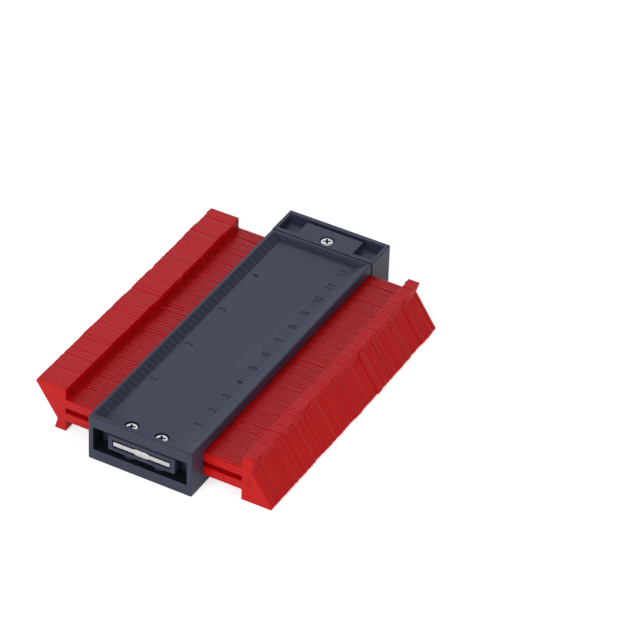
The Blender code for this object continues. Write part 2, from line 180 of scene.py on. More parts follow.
# Edge wear: where the rounded normal turns away from the face's own normal, broken up by noise
def makeEdgeWear(look):
    inputs = {"Radius": 0.0003, "Breakup": 700.0}
    tree, place, given, result = newGroup("edgeWear", inputs, ("Mask",))
    bevel = addNode(tree, "Bevel", {"Radius": given["Radius"]}, samples=4)
    plain = addNode(tree, "NewGeometry")
    normals = {0: bevel.outputs["Normal"], 1: plain.outputs["Normal"]}
    turned = addNode(tree, "VectorMath", normals, operation="DOT_PRODUCT")
    edge = addRange(tree, turned.outputs["Value"], *look["wearEdge"])
    gaps = addNoise(tree, place, given["Breakup"], 3.0)
    broken = addRange(tree, gaps, *look["wearGaps"])
    feed(tree, result["Mask"], addMaths(tree, "MULTIPLY", edge, broken, clamp=True))
    return tree


# Slow drift of tone over a piece, from -1 to 1
def makeToneDrift(look):
    tree, place, given, result = newGroup("toneDrift", {"Scale": 40.0}, ("Tone",))
    slow = addNoise(tree, place, given["Scale"], 2.0, 0.55)
    feed(tree, result["Tone"], addRange(tree, slow, *look["driftEdge"], -1.0, 1.0))
    return tree


# Fine hair scratches: noise drawn out along X and along Y, of which only the crests are kept
def makeHairScratches(look):
    tree, place, given, result = newGroup("hairScratches", {"Amount": 1.0}, ("Mask",))
    crests = []
    for turn, scale in look["hairRuns"]:
        lines = addNoise(tree, addMapping(tree, place, scale, math.radians(turn)), 1.0, 1.0)
        crests.append(addRange(tree, lines, *look["hairEdge"]))
    both = addMaths(tree, "MAXIMUM", *crests)
    feed(tree, result["Mask"], addMaths(tree, "MULTIPLY", both, given["Amount"], clamp=True))
    return tree


mouldSkin = makeMouldSkin(effectLook)
edgeWear = makeEdgeWear(effectLook)
toneDrift = makeToneDrift(effectLook)
hairScratches = makeHairScratches(effectLook)


def useGroup(tree, group, **values):
    return addNode(tree, "Group", values, node_tree=group).outputs


def newMaterial(name, **values):
    made = bpy.data.materials.new(name)
    made.use_nodes = True
    shader = made.node_tree.nodes["Principled BSDF"]
    shader.location = (1700, 0)
    made.node_tree.nodes["Material Output"].location = (2000, 0)
    for key, value in values.items():
        shader.inputs[key.replace("_", " ")].default_value = value
    return made, made.node_tree, shader.inputs


# The effects that both plastics share
def plasticEffects(tree, look):
    tone = useGroup(tree, toneDrift, Scale=look["drift"])["Tone"]
    skin = useGroup(tree, mouldSkin, Grain=look["grain"], Pits=look["pits"])
    wear = useGroup(tree, edgeWear, Radius=look["edgeRadius"], Breakup=look["breakup"])["Mask"]
    hairs = useGroup(tree, hairScratches, Amount=look["hairs"])["Mask"]
    return tone, skin, wear, hairs


# Slate plastic: satin moulding with paler worn edges, a few hair scratches and flecks. It comes in five
# tones, each with its colour, specular level and share of wear: plain, a painted shade on the inch scale's
# slope and in sunk digits, a nearly black painted shade in crevices, a painted highlight on the inch ribs,
# and a brighter painted highlight on the round at the millimetre strip's foot
slateLook = {
    "worn": screenColour(92, 98, 120), "deepShare": 0.7, "deepMost": 0.22, "wearMost": 0.24,
    "marksMost": 0.07, "roughness": 0.40, "skinRough": 0.08, "driftRough": 0.03, "wornSmooth": 0.08,
    "drift": 36.0, "grain": 5200.0, "grainHeight": 0.000008, "pits": 1100.0, "edgeRadius": 0.00035,
    "breakup": 900.0, "hairs": 0.5,
    "tones": {
        "slatePlastic": (screenColour(44, 49, 68), 0.5, 1.0),
        "slateScale": (screenColour(37, 41, 54), 0.26, 0.5),
        "slateShade": (screenColour(23, 25, 32), 0.22, 0.0),
        "slateLine": (screenColour(62, 66, 82), 0.6, 0.6),
        "slateEdge": (screenColour(128, 132, 148), 0.5, 0.3),
    },
}


def makeSlate(name, look):
    colour, gloss, share = look["tones"][name]
    made, tree, shader = newMaterial(name, Specular_IOR_Level=gloss)
    tone, skin, wear, hairs = plasticEffects(tree, look)
    shade = addRange(tree, tone, -1.0, 1.0, look["deepMost"], 0.0)
    deep = (*(part * look["deepShare"] for part in colour[:3]), 1.0)
    base = addMix(tree, shade, colour, deep)
    worn = addMaths(tree, "MULTIPLY", wear, look["wearMost"] * share)
    marks = addMaths(tree, "MAXIMUM", hairs, skin["Fleck"])
    marks = addMaths(tree, "MULTIPLY", marks, look["marksMost"] * share)
    edged = addMix(tree, marks, addMix(tree, worn, base, look["worn"]), look["worn"])
    fine = addRough(tree, skin["Height"], look["skinRough"], look["roughness"])
    rough = addMaths(tree, "MULTIPLY_ADD", tone, look["driftRough"], fine)
    rough = addMaths(tree, "SUBTRACT", rough, addMaths(tree, "MULTIPLY", wear, look["wornSmooth"]))
    feedShader(tree, shader, edged, rough, skin["Height"], look["grainHeight"])
    return made


slatePlastic, slateScale, slateShade, slateLine, slateEdge = (
    makeSlate(name, slateLook) for name in slateLook["tones"]
)


# Red plastic: each lamina carries its own tone, and its bars are glossier than its heads and painted
# darker, a painted shade as if shaded by the heads and the body beside them; paler worn edges, faint hair
# marks
redLook = {
    "colour": screenColour(184, 9, 11), "pale": screenColour(206, 40, 42),
    "deep": screenColour(160, 5, 7), "ownShare": 0.7, "deepMost": 0.5, "paleMost": 0.10,
    "wearMost": 0.04, "hairsMost": 0.05, "barShade": 0.45, "headDull": 0.10, "roughness": 0.26,
    "skinRough": 0.06, "ownRough": 0.04, "drift": 55.0, "grain": 4200.0, "grainHeight": 0.0000015,
    "pits": 1400.0, "edgeRadius": 0.0002, "breakup": 1100.0, "hairs": 0.6,
    "shader": {
        "Specular_IOR_Level": 0.28, "Subsurface_Weight": 0.2, "Subsurface_Radius": (1.0, 0.08, 0.05),
        "Subsurface_Scale": 0.002,
    },
}


def makeRed(look):
    made, tree, shader = newMaterial("redPlastic", **look["shader"])
    own, bar = (
        addNode(tree, "Attribute", attribute_name=name, attribute_type="GEOMETRY").outputs["Fac"]
        for name in ("tone", "bar")
    )
    tone, skin, wear, hairs = plasticEffects(tree, look)
    drifted = addMaths(tree, "MULTIPLY", tone, 1 - look["ownShare"])
    mixed = addMaths(tree, "MULTIPLY_ADD", own, look["ownShare"], drifted)
    darker = addRange(tree, mixed, 0.0, -1.0, 0.0, look["deepMost"])
    lighter = addRange(tree, mixed, 0.0, 1.0, 0.0, look["paleMost"])
    base = addMix(tree, darker, look["colour"], look["deep"])
    base = addMix(tree, lighter, base, look["pale"])
    # The bars are painted darker: a painted shade
    paintedBarShade = addMix(tree, addMaths(tree, "MULTIPLY", bar, look["barShade"]), base, look["deep"])
    worn = addMaths(tree, "MULTIPLY", wear, look["wearMost"])
    marks = addMaths(tree, "MAXIMUM", worn, addMaths(tree, "MULTIPLY", hairs, look["hairsMost"]))
    headRough = look["roughness"] + look["headDull"]
    fine = addRough(tree, skin["Height"], look["skinRough"], headRough)
    matt = addMaths(tree, "MULTIPLY_ADD", bar, -look["headDull"], fine)
    rough = addMaths(tree, "MULTIPLY_ADD", own, look["ownRough"], matt)
    colour = addMix(tree, marks, paintedBarShade, look["pale"])
    feedShader(tree, shader, colour, rough, skin["Height"], look["grainHeight"])
    return made


redPlastic = makeRed(redLook)


# Metals: the strip has drawn lines along Y, the magnets and screws an even plated skin
metalMarks = {
    "drift": 260.0, "driftDull": 0.18, "lineDull": 0.36, "lineRough": 0.16, "hairs": 0.8, "hairRough": 0.12,
}
metalLooks = {
    "brightSteel": {
        "colour": screenColour(250, 250, 248), "dull": screenColour(216, 216, 214), "roughness": 0.30,
        "lines": (2600.0, 30.0, 2600.0), "lineHeight": 0.000006,
    },
    "nickelPlate": {
        "colour": screenColour(250, 249, 246), "dull": screenColour(218, 217, 213), "roughness": 0.24,
        "lines": (900.0, 900.0, 900.0), "lineHeight": 0.000002,
    },
    "zincPlate": {
        "colour": screenColour(243, 240, 232), "dull": screenColour(194, 192, 186), "roughness": 0.26,
        "lines": (1500.0, 1500.0, 1500.0), "lineHeight": 0.000003,
    },
}


def makeMetal(name, look):
    made, tree, shader = newMaterial(name, Metallic=1.0)
    lines = addNoise(tree, addMapping(tree, objectPlace(tree), look["lines"]), 1.0, 3.0, 0.6)
    tone = useGroup(tree, toneDrift, Scale=look["drift"])["Tone"]
    hairs = useGroup(tree, hairScratches, Amount=look["hairs"])["Mask"]
    lined = addRange(tree, lines, 0.3, 0.7, 0.0, look["lineDull"])
    dull = addMaths(tree, "MULTIPLY_ADD", tone, look["driftDull"], lined, clamp=True)
    colour = addMix(tree, dull, look["colour"], look["dull"])
    rough = addRough(tree, lines, look["lineRough"], look["roughness"])
    rough = addMaths(tree, "MULTIPLY_ADD", hairs, look["hairRough"], rough)
    feedShader(tree, shader, colour, rough, lines, look["lineHeight"])
    return made


metals = {name: makeMetal(name, {**metalMarks, **look}) for name, look in metalLooks.items()}


# Felt: matted fibres, drawn as two crossed noises, with a soft sheen
feltLook = {
    "colour": screenColour(84, 84, 88), "dark": screenColour(48, 48, 52), "fibre": 2600.0,
    "stretches": ((1.0, 0.15, 1.0), (0.2, 1.0, 0.8)), "fibreHeight": 0.00008,
    "shader": {"Sheen_Weight": 0.4, "Sheen_Roughness": 0.6, "Specular_IOR_Level": 0.2},
}


def makeFelt(look):
    made, tree, shader = newMaterial("greyFelt", **look["shader"])
    place = objectPlace(tree)
    drawn = [addMapping(tree, place, stretch) for stretch in look["stretches"]]
    fibres = [addNoise(tree, vector, look["fibre"], 4.0, 0.65) for vector in drawn]
    matted = addMaths(tree, "MULTIPLY", *fibres)
    colour = addMix(tree, addRange(tree, matted, 0.12, 0.38), look["dark"], look["colour"])
    rough = addRange(tree, matted, 0.1, 0.4, 0.98, 0.88)
    feedShader(tree, shader, colour, rough, matted, look["fibreHeight"])
    return made


greyFelt = makeFelt(feltLook)


# The bottom of a screw's cross recess: dull metal painted nearly black, a painted shade, mottled by noise
recessLook = {
    "colour": screenColour(52, 40, 33), "dark": screenColour(16, 13, 12), "grime": 3000.0,
    "grimeHeight": 0.00002,
}


def makeRecess(look):
    made, tree, shader = newMaterial("screwRecess", Metallic=0.3, Specular_IOR_Level=0.3)
    grime = addNoise(tree, objectPlace(tree), look["grime"], 3.0)
    colour = addMix(tree, grime, look["dark"], look["colour"])
    rough = addRange(tree, grime, 0.2, 0.8, 0.75, 0.5)
    feedShader(tree, shader, colour, rough, grime, look["grimeHeight"])
    return made


screwRecess = makeRecess(recessLook)
print("materials made:", len(bpy.data.materials))


# A mesh from points in millimetres and faces as groups of rows of corner numbers
def meshFrom(name, points, faces):
    mesh = bpy.data.meshes.new(name)
    corners = [face for group in faces for face in np.asarray(group).tolist()]
    mesh.from_pydata((points * mm).tolist(), [], corners)
    mesh.validate()
    return mesh


def newObject(name, data):
    made = bpy.data.objects.new(name, data)
    bpy.context.scene.collection.objects.link(made)
    return made


def giveMaterials(mesh, *materials):
    mesh.materials.clear()
    for material in materials:
        mesh.materials.append(material)


def addPiece(mesh, name, stoodFor=(), body=gaugeBody):
    piece = newObject(name, mesh)
    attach(piece, body)
    if stoodFor:
        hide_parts(*stoodFor)
    return piece


def outwards(mesh):
    shell = bmesh.new()
    shell.from_mesh(mesh)
    bmesh.ops.recalc_face_normals(shell, faces=shell.faces)
    shell.to_mesh(mesh)
    shell.free()


def smoothFaces(mesh, sharpFrom):
    mesh.shade_smooth()
    mesh.set_sharp_from_angle(angle=math.radians(sharpFrom))


# A closed mesh with its faces turned outwards, smoothed up to an angle where one is given
def closedMesh(name, points, faces, sharpFrom=None):
    mesh = meshFrom(name, points, faces)
    outwards(mesh)
    if sharpFrom:
        smoothFaces(mesh, sharpFrom)
    return mesh


# The middles, in millimetres, and the normals of a mesh's faces, each as its x, y and z
def faceRows(mesh):
    values = np.empty((2, len(mesh.polygons) * 3))
    mesh.polygons.foreach_get("center", values[0])
    mesh.polygons.foreach_get("normal", values[1])
    return values[0].reshape(-1, 3).T / mm, values[1].reshape(-1, 3).T


def paintFaces(mesh, index):
    mesh.polygons.foreach_set("material_index", index.astype(np.int32))


def weighNormals(piece):
    weighted = piece.modifiers.new("evenFaces", "WEIGHTED_NORMAL")
    weighted.keep_sharp = True
    weighted.weight = 60


# Quads round a tube whose points run ring by ring; a closed one joins its last ring to its first
def tubeFaces(rings, count, closed=False, start=0):
    ring = np.arange(rings if closed else rings - 1)[:, None]
    point = np.arange(count)[None, :]
    here, ahead = ring * count, (ring + 1) % rings * count
    beside = (point + 1) % count
    corners = np.broadcast_arrays(here + point, here + beside, ahead + beside, ahead + point)
    return start + np.stack(corners, axis=-1).reshape(-1, 4)


# The same with both of its ends filled
def rodFaces(rings, count):
    ring = np.arange(count)[None, :]
    return [tubeFaces(rings, count), ring[:, ::-1], (rings - 1) * count + ring]


def unit(vectors):
    return vectors / np.linalg.norm(vectors, axis=-1, keepdims=True)


def quarterTurn(vectors):
    return np.stack((-vectors[..., 1], vectors[..., 0]), axis=-1)


# Each corner becomes a parabola p(u) = (1-u)^2 a + 2u(1-u) corner + u^2 b, where a and b lie
# one reach back and one reach on along the two sides that meet there
def roundCorners(corners, reach, steps):
    corners = np.array(corners, float)
    reach = np.array(reach, float)[:, None]
    back, ahead = (unit(np.roll(corners, side, axis=0) - corners) * reach for side in (1, -1))
    u = np.linspace(0, 1, steps)[None, :, None]
    begin, end = (corners + back)[:, None], (corners + ahead)[:, None]
    return ((1 - u) ** 2 * begin + 2 * u * (1 - u) * corners[:, None] + u ** 2 * end).reshape(-1, 2)


# Moves a closed line inwards: each point goes along the side normal, which is the tangent
# from its last to its next neighbour turned by a quarter
def insetLine(line, distance):
    return line + quarterTurn(unit(np.roll(line, -1, axis=0) - np.roll(line, 1, axis=0))) * distance


# Stands an object at a place in metres, with its own x, y and z along three directions
def standAt(made, place, axes):
    made.matrix_world = Matrix.Translation(place) @ Matrix(np.array(axes).T.tolist()).to_4x4()


# Camera
cameraLook = {
    "place": (596.3, -1066.1, 961.8), "right": (0.871972, 0.488509, 0.031997),
    "down": (0.319706, -0.518729, -0.792912), "ahead": (-0.370747, 0.701626, -0.608496),
    "lens": 226.66, "sensor": 36.0, "clip": (0.05, 20.0),
}


def makeCamera(look):
    data = bpy.data.cameras.new("camera")
    data.lens = look["lens"]
    data.sensor_width = look["sensor"]
    data.clip_start, data.clip_end = look["clip"]
    camera = newObject("camera", data)
    axes = (look["right"], -np.array(look["down"]), -np.array(look["ahead"]))
    standAt(camera, np.array(look["place"]) * mm, axes)
    bpy.context.scene.camera = camera


makeCamera(cameraLook)


# Laminae: the outline of one plate seen from the front, with its height measured from the middle.
# The ring's profile is a row of radii and heights
laminaLook = {
    "halfHeight": 9.85, "innerReach": 38.2, "tipReach": 51.45, "tipWidth": 0.5, "tipHeight": 0.6,
    "notchReach": 41.95, "notchHeight": 4.75, "footReach": 43.3, "barOuter": 5.15, "slotHalf": 1.15,
    "cornerReach": (0.22, 0.24, 0.24, 0.24, 0.40, 0.30, 0.24, 0.22), "slotReach": 0.3, "cornerSteps": 3,
    "thickness": 1.49, "pitch": 1.5, "frontShift": -0.095, "headRound": (0.40, 0.07),
    "barRound": (0.52, 0.15), "roundPower": 1.3, "edgeSteps": 4, "smooth": 50,
    "ringPlace": (41.6, -1.42), "ringPoints": 20,
    "ringProfile": ((1.3, -0.16), (1.248, 0.16), (1.131, 0.20), (1.014, 0.16), (0.936, -0.18)),
    "shake": 0.045, "sideRoom": 0.04, "drop": 0.035, "dropMost": 0.06, "lowStep": 0.10,
    "lowShare": 0.10, "lean": 0.003, "topSlant": 0.055, "endSlant": 0.075, "toneSpread": 0.62,
    "seed": 11, "barMargin": 0.1, "flatFrom": 0.9,
}


def laminaOutline(look):
    half, inner, outer, tip = (look[key] for key in ("halfHeight", "innerReach", "barOuter", "tipReach"))
    head = np.array((
        (-inner, outer), (-inner, half), (look["tipWidth"] - tip, half), (-tip, half - look["tipHeight"]),
        (-look["notchReach"], look["notchHeight"] - half), (-look["footReach"], -half), (-inner, -half),
        (-inner, -outer),
    ))
    return roundCorners(np.concatenate((head, -head)), look["cornerReach"] * 2, look["cornerSteps"])


def laminaSlot(look):
    x, z = look["innerReach"], look["slotHalf"]
    corners = ((-x, -z), (-x, z), (x, z), (x, -z))
    return roundCorners(corners, (look["slotReach"],) * 4, look["cornerSteps"])


# The edge of a plate falls away softly towards each face: at depth w s it is inset by
# t(1 - s)^1.3, with s from 0 to 1. The bars have a larger w and t than the heads
def plateRings(look, line):
    share = np.linspace(0, 1, look["edgeSteps"])[:, None]
    reach = np.abs(line) - hair
    onBar = (reach[:, 0] < look["innerReach"]) & (reach[:, 1] < look["barOuter"])
    wide, tall = (np.where(onBar, bar, head) for bar, head in zip(look["barRound"], look["headRound"]))
    inset, depth = tall * (1 - share) ** look["roundPower"], wide * share
    depths = np.concatenate((depth, look["thickness"] - depth[::-1]))
    return np.concatenate((inset, inset[::-1])), depths


# One plate: the outer line and the slot's line are carried through its thickness ring by ring,
# and each face is filled between the two lines
def plateArrays(look):
    points, faces, rims, start = [], [], [], 0
    for line in (laminaOutline(look), laminaSlot(look)):
        insets, depths = plateRings(look, line)
        rings = np.stack([insetLine(line, distance[:, None]) for distance in insets])
        points.append(np.stack((rings[..., 0], depths, rings[..., 1]), axis=-1).reshape(-1, 3))
        faces.append(tubeFaces(len(depths), len(line), start=start))
        rims.append((start, rings[0]))
        start += len(points[-1])
    flat = [[(x, z, 0.0) for x, z in ring] for first, ring in rims]
    numbers = np.concatenate([first + np.arange(len(ring)) for first, ring in rims])
    filled = numbers[np.array(tessellate_polygon(flat))]
    toBack = np.zeros(start, int)
    for first, ring in rims:
        toBack[first:first + len(ring)] = (2 * look["edgeSteps"] - 1) * len(ring)
    return np.concatenate(points), faces + [filled, (filled + toBack[filled])[:, ::-1]]


# The moulded ring on the foremost plate: a low round rim about a sunk middle, turned from rings
# of falling radius. The other plates lie too close together to carry it
def ringArrays(look):
    radius, height = np.array(look["ringProfile"]).T[..., None]
    angle = np.linspace(0, math.tau, look["ringPoints"], endpoint=False)
    x = radius * np.cos(angle) + look["ringPlace"][0]
    z = radius * np.sin(angle) + look["ringPlace"][1]
    points = np.stack((x, np.broadcast_to(-height, x.shape), z), axis=-1).reshape(-1, 3)
    return points, rodFaces(*x.shape)


def joinArrays(parts):
    points, faces, start = [], [], 0
    for partPoints, partFaces in parts:
        points.append(partPoints)
        faces.extend(np.asarray(group) + start for group in partFaces)
        start += len(partPoints)
    return np.concatenate(points), faces


# Each plate sits a little off its place and its cut edges slant: x and z shift by slant times the
# depth in the plate. The whole plate leans by a few thousandths along Y, less than the gap, and
# one in ten sits a step lower than the others
def placePlate(look, dice, points):
    moved = points.copy()
    inDepth = points[:, 1] - look["thickness"] / 2
    moved[:, 0] += dice.normal(0, look["endSlant"]) * inDepth
    moved[:, 2] += dice.normal(0, look["topSlant"]) * inDepth
    moved[:, 1] += dice.uniform(-look["lean"], look["lean"]) * points[:, 0] / look["tipReach"]
    low = look["lowStep"] * (dice.random() < look["lowShare"])
    most = look["dropMost"]
    moved[:, 2] += np.clip(dice.normal(0, look["drop"]), -most, most) - low
    return moved


# Marks the cut edges of the bars with 1, and the heads and the flat sides with 0
def markBars(mesh, look, centre):
    middles, normals = faceRows(mesh)
    x, z = np.abs(middles - centre[:, None])[::2]
    margin = look["barMargin"]
    bar = (x < look["innerReach"] - margin) & (z < look["barOuter"] + margin)
    bar &= np.abs(normals[1]) < look["flatFrom"]
    mesh.attributes.new("bar", "FLOAT", "FACE").data.foreach_set("value", bar.astype(np.float32))


def makeLaminae(look):
    dice = np.random.default_rng(look["seed"])
    plain = plateArrays(look)
    marked = joinArrays([plain, ringArrays(look)])
    pairs = sorted(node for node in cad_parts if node.startswith("lamina_pair_"))
    room = look["tipReach"] + look["sideRoom"]
    for number, node in enumerate(pairs):
        low, high = inMillimetres(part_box(node))
        centre = (low + high) / 2
        parts, tones = [], []
        for index in range(2):
            plate = marked if number + index == 0 else plain
            points = placePlate(look, dice, plate[0])
            shaken = centre[0] + dice.normal(0, look["shake"])
            x = np.clip(shaken, cadLow.x / mm + room, cadHigh.x / mm - room)
            points += np.array((x, low[1] + index * look["pitch"] + look["frontShift"], centre[2]))
            parts.append((points, plate[1]))
            tones.append(np.full(len(points), np.clip(dice.normal(0, look["toneSpread"]), -1, 1)))
        name = "laminae" + node[-2:]
        mesh = closedMesh(name, *joinArrays(parts), look["smooth"])
        tone = mesh.attributes.new("tone", "FLOAT", "POINT")
        tone.data.foreach_set("value", np.concatenate(tones).astype(np.float32))
        markBars(mesh, look, centre)
        giveMaterials(mesh, redPlastic)
        body = node.replace("lamina_", "")
        weighNormals(addPiece(mesh, name, [node], body))
    return len(pairs)


print("laminae made:", makeLaminae(laminaLook) * 2)


# CAD shapes: how far apart, in millimetres, points may lie to be joined, below what angle, in
# degrees, faces are made one, and how many steps a rounded edge has
shapeLook = {"weld": 0.002, "flat": 0.4, "steps": 3}


# A CAD node's shape with its loose triangles joined and its flat faces made whole
def nodeShape(node, look):
    shape = bmesh.new()
    shape.from_mesh(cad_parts[node].data)
    bmesh.ops.remove_doubles(shape, verts=shape.verts, dist=look["weld"] * mm)
    flat = math.radians(look["flat"])
    bmesh.ops.dissolve_limit(shape, angle_limit=flat, verts=shape.verts, edges=shape.edges)
    bmesh.ops.recalc_face_normals(shape, faces=shape.faces)
    mesh = bpy.data.meshes.new(node)
    shape.to_mesh(mesh)
    shape.free()
    return mesh


# Settles a mesh's modifiers into it, so that nothing else is needed to show it
def settle(mesh, prepare):
    holder = newObject(mesh.name, mesh)
    prepare(holder)
    bpy.context.view_layer.update()
    solid = holder.evaluated_get(bpy.context.evaluated_depsgraph_get())
    settled = bpy.data.meshes.new_from_object(solid)
    settled.name = mesh.name
    bpy.data.objects.remove(holder)
    return settled


# A CAD node's shape with its sharp edges rounded, kept inside the node's box
def softShape(node, width, limit=50):
    def prepare(holder):
        bevel = holder.modifiers.new("softEdges", "BEVEL")
        bevel.width = width * mm
        bevel.segments = shapeLook["steps"]
        bevel.limit_method = "ANGLE"
        bevel.angle_limit = math.radians(limit)
        bevel.use_clamp_overlap = False

    softened = settle(nodeShape(node, shapeLook), prepare)
    points = np.empty(len(softened.vertices) * 3)
    softened.vertices.foreach_get("co", points)
    low, high = (np.array(corner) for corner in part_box(node))
    softened.vertices.foreach_set("co", np.clip(points.reshape(-1, 3), low, high).ravel())
    return softened


# A cut can leave pairs of faces that lie back to back on the same corners: both go
def dropTwins(mesh):
    shape = bmesh.new()
    shape.from_mesh(mesh)
    sameCorners = {}
    for face in shape.faces:
        sameCorners.setdefault(frozenset(vert.index for vert in face.verts), []).append(face)
    twins = [face for faces in sameCorners.values() if len(faces) > 1 for face in faces]
    bmesh.ops.delete(shape, geom=twins, context="FACES")
    shape.to_mesh(mesh)
    shape.free()


def carve(mesh, cutter):
    tool = newObject("cutter", cutter)

    def prepare(holder):
        cut = holder.modifiers.new("carve", "BOOLEAN")
        cut.operation = "DIFFERENCE"
        cut.solver = "EXACT"
        cut.use_self = True
        cut.object = tool

    carved = settle(mesh, prepare)
    bpy.data.objects.remove(tool)
    dropTwins(carved)
    return carved


# Tray: where its foot and rim run, and where its two scales begin
trayLook = {
    "floor": 18.3, "rim": 20.3, "footReach": 17.15, "rimReach": 20.75, "zero": 8.7, "inchZero": 8.3,
}


# Inch marks: how far a rib's ends stay from the slope's foot and rim, and its section
inchLook = {"pitch": 3.175, "marks": 39, "run": (0.05, 0.16), "half": 0.13, "height": 0.07, "sunk": 0.05}


# Each mark is a low three-sided rib, laid up the left slope from foot to rim
def makeInchMarks(tray, look):
    foot, rim = np.array(((tray["footReach"], tray["floor"]), (tray["rimReach"], tray["rim"])))
    slope = unit(rim - foot)
    section = ((-look["half"], -look["sunk"]), (0.0, look["height"]), (look["half"], -look["sunk"]))
    rib = []
    for end in (foot + slope * look["run"][0], rim - slope * look["run"][1]):
        for y, rise in section:
            x, z = end + rise * quarterTurn(slope)
            rib.append((-x, y, z))
    places = tray["inchZero"] + bodyLow[1] + look["pitch"] * np.arange(look["marks"])
    parts = [(np.array(rib) + (0.0, place, 0.0), rodFaces(2, 3)) for place in places]
    mesh = closedMesh("inchMarks", *joinArrays(parts))
    # The ribs are painted paler than the slope: a painted highlight
    giveMaterials(mesh, slateLine)
    addPiece(mesh, "inchMarks")


# Digits are drawn as strokes in a box 1 high: bows are parts of ellipses, given by their middle,
# half sizes and first and last angle
def bow(x, y, wide, tall, first, last, steps=9):
    angle = np.radians(np.linspace(first, last, steps))
    return np.stack((x + wide * np.cos(angle), y + tall * np.sin(angle)), axis=1)


def stroke(*parts):
    return np.concatenate([np.atleast_2d(np.array(part, float)) for part in parts])


def digitStrokes():
    six = stroke(
        (0.47, 0.90), bow(0.36, 0.62, 0.30, 0.34, 75, 165, 6), bow(0.30, 0.30, 0.25, 0.27, 180, 525, 16),
    )
    upper, lower = bow(0.27, 0.74, 0.22, 0.22, 150, -80), bow(0.26, 0.28, 0.26, 0.24, 75, -155)
    five = stroke((0.52, 0.95), (0.15, 0.95), (0.10, 0.54), bow(0.27, 0.32, 0.25, 0.28, 110, -150))
    eight = [bow(0.29, 0.74, 0.20, 0.21, 10, 340, 14), bow(0.29, 0.27, 0.25, 0.24, 10, 340, 14)]
    return {
        "0": [(bow(0.29, 0.5, 0.24, 0.46, 0, 337.5, 16), True)],
        "1": [(stroke((0.06, 0.74), (0.32, 0.96), (0.32, 0.04)), False)],
        "2": [(stroke(bow(0.29, 0.71, 0.24, 0.25, 165, -35), (0.06, 0.05), (0.55, 0.05)), False)],
        "3": [(stroke(upper, lower), False)],
        "4": [(stroke((0.42, 0.04), (0.42, 0.96), (0.04, 0.32), (0.57, 0.32)), False)],
        "5": [(five, False)],
        "6": [(six, False)],
        "7": [(stroke((0.05, 0.95), (0.54, 0.95), (0.22, 0.04)), False)],
        "8": [(line, True) for line in eight],
        "9": [(np.array((0.58, 1.0)) - six, False)],
    }


# Digits: their size and places, and the groove's section as sides and heights
digitLook = {
    "size": 3.2, "advance": 2.3, "middle": (0.29, 0.5), "reach": 14.4, "shift": 0.15, "last": 12,
    "centimetre": 10, "inchReach": -13.95, "inchShift": 0.1, "inchLast": 4, "inch": 25.4, "half": 0.21,
    "depth": 0.26, "widenMost": 1.8, "sides": (-1.3, -0.85, -0.45, 0.45, 0.85, 1.3),
    "heights": (0.6, -0.5, -1.0, -1.0, -0.5, 0.6),
}


# A stroke is cut as a groove: at each of its points a section is stood across the mean of the two
# directions that meet there
def grooveArrays(line, closed, look):
    ahead = np.roll(line, -1, axis=0) - line
    back = line - np.roll(line, 1, axis=0)
    if not closed:
        ahead[-1], back[0] = back[-1], ahead[0]
    ahead = unit(ahead)
    mean = unit(ahead + unit(back))
    widen = np.minimum(1 / np.sum(mean * ahead, axis=1), look["widenMost"])
    side, height = look["half"] * np.array(look["sides"]), look["depth"] * np.array(look["heights"])
    flat = line[:, None] + quarterTurn(mean)[:, None] * side[None, :, None] * widen[:, None, None]
    points = np.stack((flat[..., 0], flat[..., 1], np.broadcast_to(height, flat.shape[:2])), axis=-1)
    size = flat.shape[:2]
    return points.reshape(-1, 3), [tubeFaces(*size, closed=True)] if closed else rodFaces(*size)


# Text runs along Y with its top towards -X
def digitCutter(tray, look):
    first, inchFirst = tray["zero"] + look["shift"], tray["inchZero"] - look["inchShift"]
    marks = [
        (str(number), reach, start + step * number)
        for reach, start, step, last in (
            (look["reach"], first, look["centimetre"], look["last"]),
            (look["inchReach"], inchFirst, look["inch"], look["inchLast"]),
        )
        for number in range(1, last + 1)
    ]
    shapes = digitStrokes()
    parts = []
    for text, reach, along in marks:
        for index, digit in enumerate(text):
            offset = look["advance"] * (index - (len(text) - 1) / 2)
            for line, closed in shapes[digit]:
                wide, tall = ((line - look["middle"]) * look["size"]).T
                run = wide + offset + along + bodyLow[1]
                parts.append(grooveArrays(np.stack((reach - tall, run), axis=1), closed, look))
    points, faces = joinArrays(parts)
    points[:, 2] += tray["floor"]
    return closedMesh("digits", points, faces)


# Body: its softened edges, and the limits that shadeBody goes by
bodyLook = {
    "softness": 0.16, "softLimit": 66, "smooth": 28, "bore": 3.05, "boreFrom": 16.0,
    "opening": (0.5, 6.95), "openingReach": 20.4, "openingHeight": (4.8, 15.5), "digitsFrom": 10,
    "digitsTo": 3, "seam": 0.17, "seamTurn": 0.35, "slopeTurn": (0.3, 0.6), "margin": 0.05,
}


def between(values, low, high):
    return (values > low) & (values < high)
